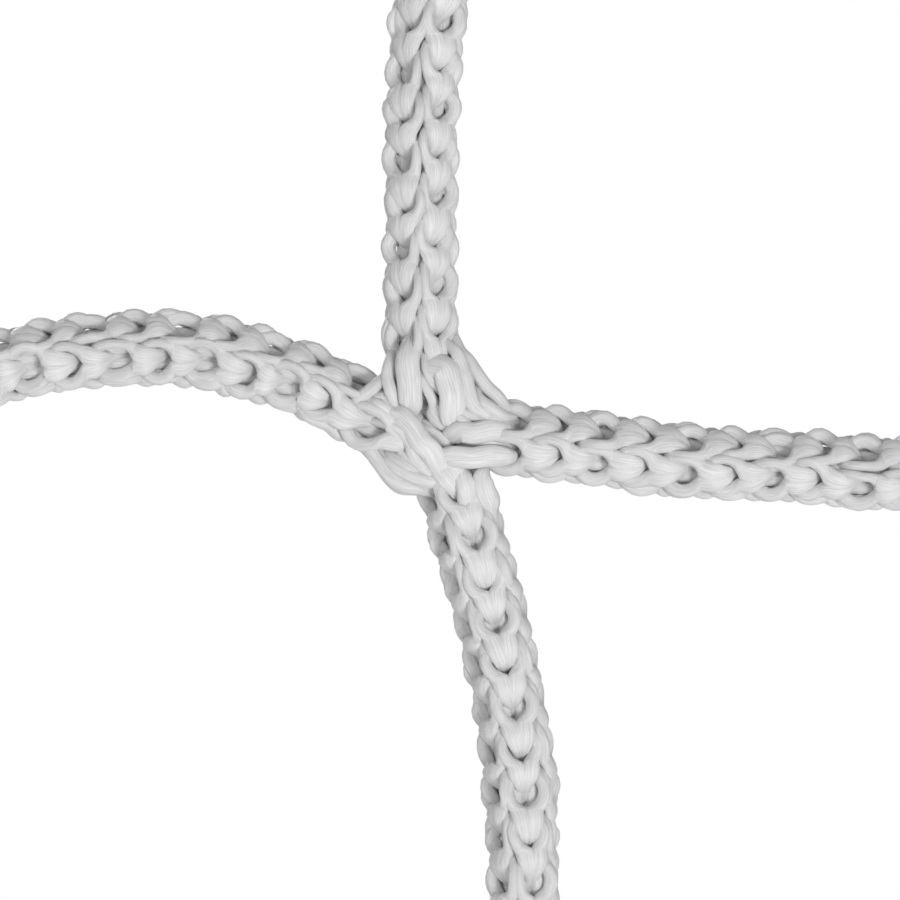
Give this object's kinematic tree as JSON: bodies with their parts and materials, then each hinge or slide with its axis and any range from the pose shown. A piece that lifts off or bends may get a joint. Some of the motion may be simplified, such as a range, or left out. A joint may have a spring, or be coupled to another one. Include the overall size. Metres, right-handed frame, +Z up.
{
  "type": "tennis net",
  "caption": "Panel of white knotless knitted tennis netting with square meshes, whose mesh bars swing where they meet the crossings; cut legs end flat.",
  "frame": {"origin": "end of the top centre leg, by which the panel hangs", "axes": "the netting hangs in the XZ plane: +X to the viewer's right, +Z up, +Y away from the viewer, through the netting"},
  "size_m": [0.1165, 0.0043, 0.1171],
  "materials": {
    "knitted_twine": "white smooth multifilament yarn, soft satin"
  },
  "bodies": {
    "crossing_top_left": {"crossing_top_left_lower_turn": "knitted_twine", "crossing_top_left_upper_turn": "knitted_twine", "stub_top_left_left": "knitted_twine", "stub_top_left_up": "knitted_twine"},
    "crossing_top_centre": {"crossing_top_centre_lower_turn": "knitted_twine", "crossing_top_centre_upper_turn": "knitted_twine", "stub_top_centre_up": "knitted_twine"},
    "crossing_top_right": {"crossing_top_right_lower_turn": "knitted_twine", "crossing_top_right_upper_turn": "knitted_twine", "stub_top_right_right": "knitted_twine", "stub_top_right_up": "knitted_twine"},
    "crossing_middle_left": {"crossing_middle_left_lower_turn": "knitted_twine", "crossing_middle_left_upper_turn": "knitted_twine", "stub_middle_left_left": "knitted_twine"},
    "crossing_middle_centre": {"crossing_middle_centre_lower_turn": "knitted_twine", "crossing_middle_centre_upper_turn": "knitted_twine"},
    "crossing_middle_right": {"crossing_middle_right_lower_turn": "knitted_twine", "crossing_middle_right_upper_turn": "knitted_twine", "stub_middle_right_right": "knitted_twine"},
    "crossing_bottom_left": {"crossing_bottom_left_lower_turn": "knitted_twine", "crossing_bottom_left_upper_turn": "knitted_twine", "stub_bottom_left_down": "knitted_twine", "stub_bottom_left_left": "knitted_twine"},
    "crossing_bottom_centre": {"crossing_bottom_centre_lower_turn": "knitted_twine", "crossing_bottom_centre_upper_turn": "knitted_twine", "stub_bottom_centre_down": "knitted_twine"},
    "crossing_bottom_right": {"crossing_bottom_right_lower_turn": "knitted_twine", "crossing_bottom_right_upper_turn": "knitted_twine", "stub_bottom_right_down": "knitted_twine", "stub_bottom_right_right": "knitted_twine"},
    "bar_bottom_row_left": {"bar_bottom_row_left": "knitted_twine"},
    "bar_bottom_row_right": {"bar_bottom_row_right": "knitted_twine"},
    "bar_centre_column_lower": {"bar_centre_column_lower": "knitted_twine"},
    "bar_centre_column_upper": {"bar_centre_column_upper": "knitted_twine"},
    "bar_left_column_lower": {"bar_left_column_lower": "knitted_twine"},
    "bar_left_column_upper": {"bar_left_column_upper": "knitted_twine"},
    "bar_middle_row_left": {"bar_middle_row_left": "knitted_twine"},
    "bar_middle_row_right": {"bar_middle_row_right": "knitted_twine"},
    "bar_right_column_lower": {"bar_right_column_lower": "knitted_twine"},
    "bar_right_column_upper": {"bar_right_column_upper": "knitted_twine"},
    "bar_top_row_left": {"bar_top_row_left": "knitted_twine"},
    "bar_top_row_right": {"bar_top_row_right": "knitted_twine"}
  },
  "joints": [
    {"name": "left_meshes_swing", "type": "hinge", "parent": "crossing_top_centre", "child": "bar_top_row_left", "pos_m": [-0.00298, 0, -0.01135], "axis": [0, 1, 0], "range_deg": [-35, 35]},
    {"name": "crossing_top_left_turn", "type": "hinge", "parent": "bar_top_row_left", "child": "crossing_top_left", "pos_m": [-0.04078, 0, -0.0123], "axis": [0, 1, 0], "range_deg": [-35, 35]},
    {"name": "bar_middle_row_left_swing", "type": "hinge", "parent": "crossing_middle_centre", "child": "bar_middle_row_left", "pos_m": [-0.00438, 0, -0.05615], "axis": [0, 1, 0], "range_deg": [-35, 35]},
    {"name": "bar_bottom_row_left_swing", "type": "hinge", "parent": "crossing_bottom_centre", "child": "bar_bottom_row_left", "pos_m": [-0.00178, 0, -0.10085], "axis": [0, 1, 0], "range_deg": [-35, 35]},
    {"name": "right_meshes_swing", "type": "hinge", "parent": "crossing_top_centre", "child": "bar_top_row_right", "pos_m": [0.00382, 0, -0.0128], "axis": [0, 1, 0], "range_deg": [-35, 35]},
    {"name": "crossing_top_right_turn", "type": "hinge", "parent": "bar_top_row_right", "child": "crossing_top_right", "pos_m": [0.04182, 0, -0.01395], "axis": [0, 1, 0], "range_deg": [-35, 35]},
    {"name": "bar_middle_row_right_swing", "type": "hinge", "parent": "crossing_middle_centre", "child": "bar_middle_row_right", "pos_m": [0.00242, 0, -0.0576], "axis": [0, 1, 0], "range_deg": [-35, 35]},
    {"name": "bar_bottom_row_right_swing", "type": "hinge", "parent": "crossing_bottom_centre", "child": "bar_bottom_row_right", "pos_m": [0.00502, 0, -0.1023], "axis": [0, 1, 0], "range_deg": [-35, 35]},
    {"name": "bar_left_column_upper_swing", "type": "hinge", "parent": "crossing_top_left", "child": "bar_left_column_upper", "pos_m": [-0.04303, 0, -0.015], "axis": [0, -1, 0], "range_deg": [-35, 35]},
    {"name": "crossing_middle_left_turn", "type": "hinge", "parent": "bar_left_column_upper", "child": "crossing_middle_left", "pos_m": [-0.04604, 0, -0.0533], "axis": [0, -1, 0], "range_deg": [-35, 35]},
    {"name": "bar_left_column_lower_swing", "type": "hinge", "parent": "crossing_middle_left", "child": "bar_left_column_lower", "pos_m": [-0.04443, 0, -0.0598], "axis": [0, -1, 0], "range_deg": [-35, 35]},
    {"name": "crossing_bottom_left_turn", "type": "hinge", "parent": "bar_left_column_lower", "child": "crossing_bottom_left", "pos_m": [-0.04344, 0, -0.098], "axis": [0, -1, 0], "range_deg": [-35, 35]},
    {"name": "upper_meshes_swing", "type": "hinge", "parent": "crossing_top_centre", "child": "bar_centre_column_upper", "pos_m": [0.00157, 0, -0.0155], "axis": [0, -1, 0], "range_deg": [-35, 35]},
    {"name": "crossing_middle_centre_turn", "type": "hinge", "parent": "bar_centre_column_upper", "child": "crossing_middle_centre", "pos_m": [-0.00144, 0, -0.0538], "axis": [0, -1, 0], "range_deg": [-35, 35]},
    {"name": "lower_meshes_swing", "type": "hinge", "parent": "crossing_middle_centre", "child": "bar_centre_column_lower", "pos_m": [0.00017, 0, -0.0603], "axis": [0, -1, 0], "range_deg": [-35, 35]},
    {"name": "crossing_bottom_centre_turn", "type": "hinge", "parent": "bar_centre_column_lower", "child": "crossing_bottom_centre", "pos_m": [0.00116, 0, -0.0985], "axis": [0, -1, 0], "range_deg": [-35, 35]},
    {"name": "bar_right_column_upper_swing", "type": "hinge", "parent": "crossing_top_right", "child": "bar_right_column_upper", "pos_m": [0.04637, 0, -0.0181], "axis": [0, -1, 0], "range_deg": [-35, 35]},
    {"name": "crossing_middle_right_turn", "type": "hinge", "parent": "bar_right_column_upper", "child": "crossing_middle_right", "pos_m": [0.04336, 0, -0.0564], "axis": [0, -1, 0], "range_deg": [-35, 35]},
    {"name": "bar_right_column_lower_swing", "type": "hinge", "parent": "crossing_middle_right", "child": "bar_right_column_lower", "pos_m": [0.04497, 0, -0.0629], "axis": [0, -1, 0], "range_deg": [-35, 35]},
    {"name": "crossing_bottom_right_turn", "type": "hinge", "parent": "bar_right_column_lower", "child": "crossing_bottom_right", "pos_m": [0.04596, 0, -0.1011], "axis": [0, -1, 0], "range_deg": [-35, 35]}
  ],
  "couplings": [
    {"joint": "crossing_top_left_turn", "follows": "left_meshes_swing", "ratio": -1},
    {"joint": "bar_middle_row_left_swing", "follows": "left_meshes_swing", "ratio": 1},
    {"joint": "bar_bottom_row_left_swing", "follows": "left_meshes_swing", "ratio": 1},
    {"joint": "crossing_top_right_turn", "follows": "right_meshes_swing", "ratio": -1},
    {"joint": "bar_middle_row_right_swing", "follows": "right_meshes_swing", "ratio": 1},
    {"joint": "bar_bottom_row_right_swing", "follows": "right_meshes_swing", "ratio": 1},
    {"joint": "bar_left_column_upper_swing", "follows": "upper_meshes_swing", "ratio": 1},
    {"joint": "crossing_middle_left_turn", "follows": "upper_meshes_swing", "ratio": -1},
    {"joint": "bar_left_column_lower_swing", "follows": "lower_meshes_swing", "ratio": 1},
    {"joint": "crossing_bottom_left_turn", "follows": "lower_meshes_swing", "ratio": -1},
    {"joint": "crossing_middle_centre_turn", "follows": "upper_meshes_swing", "ratio": -1},
    {"joint": "crossing_bottom_centre_turn", "follows": "lower_meshes_swing", "ratio": -1},
    {"joint": "bar_right_column_upper_swing", "follows": "upper_meshes_swing", "ratio": 1},
    {"joint": "crossing_middle_right_turn", "follows": "upper_meshes_swing", "ratio": -1},
    {"joint": "bar_right_column_lower_swing", "follows": "lower_meshes_swing", "ratio": 1},
    {"joint": "crossing_bottom_right_turn", "follows": "lower_meshes_swing", "ratio": -1}
  ]
}
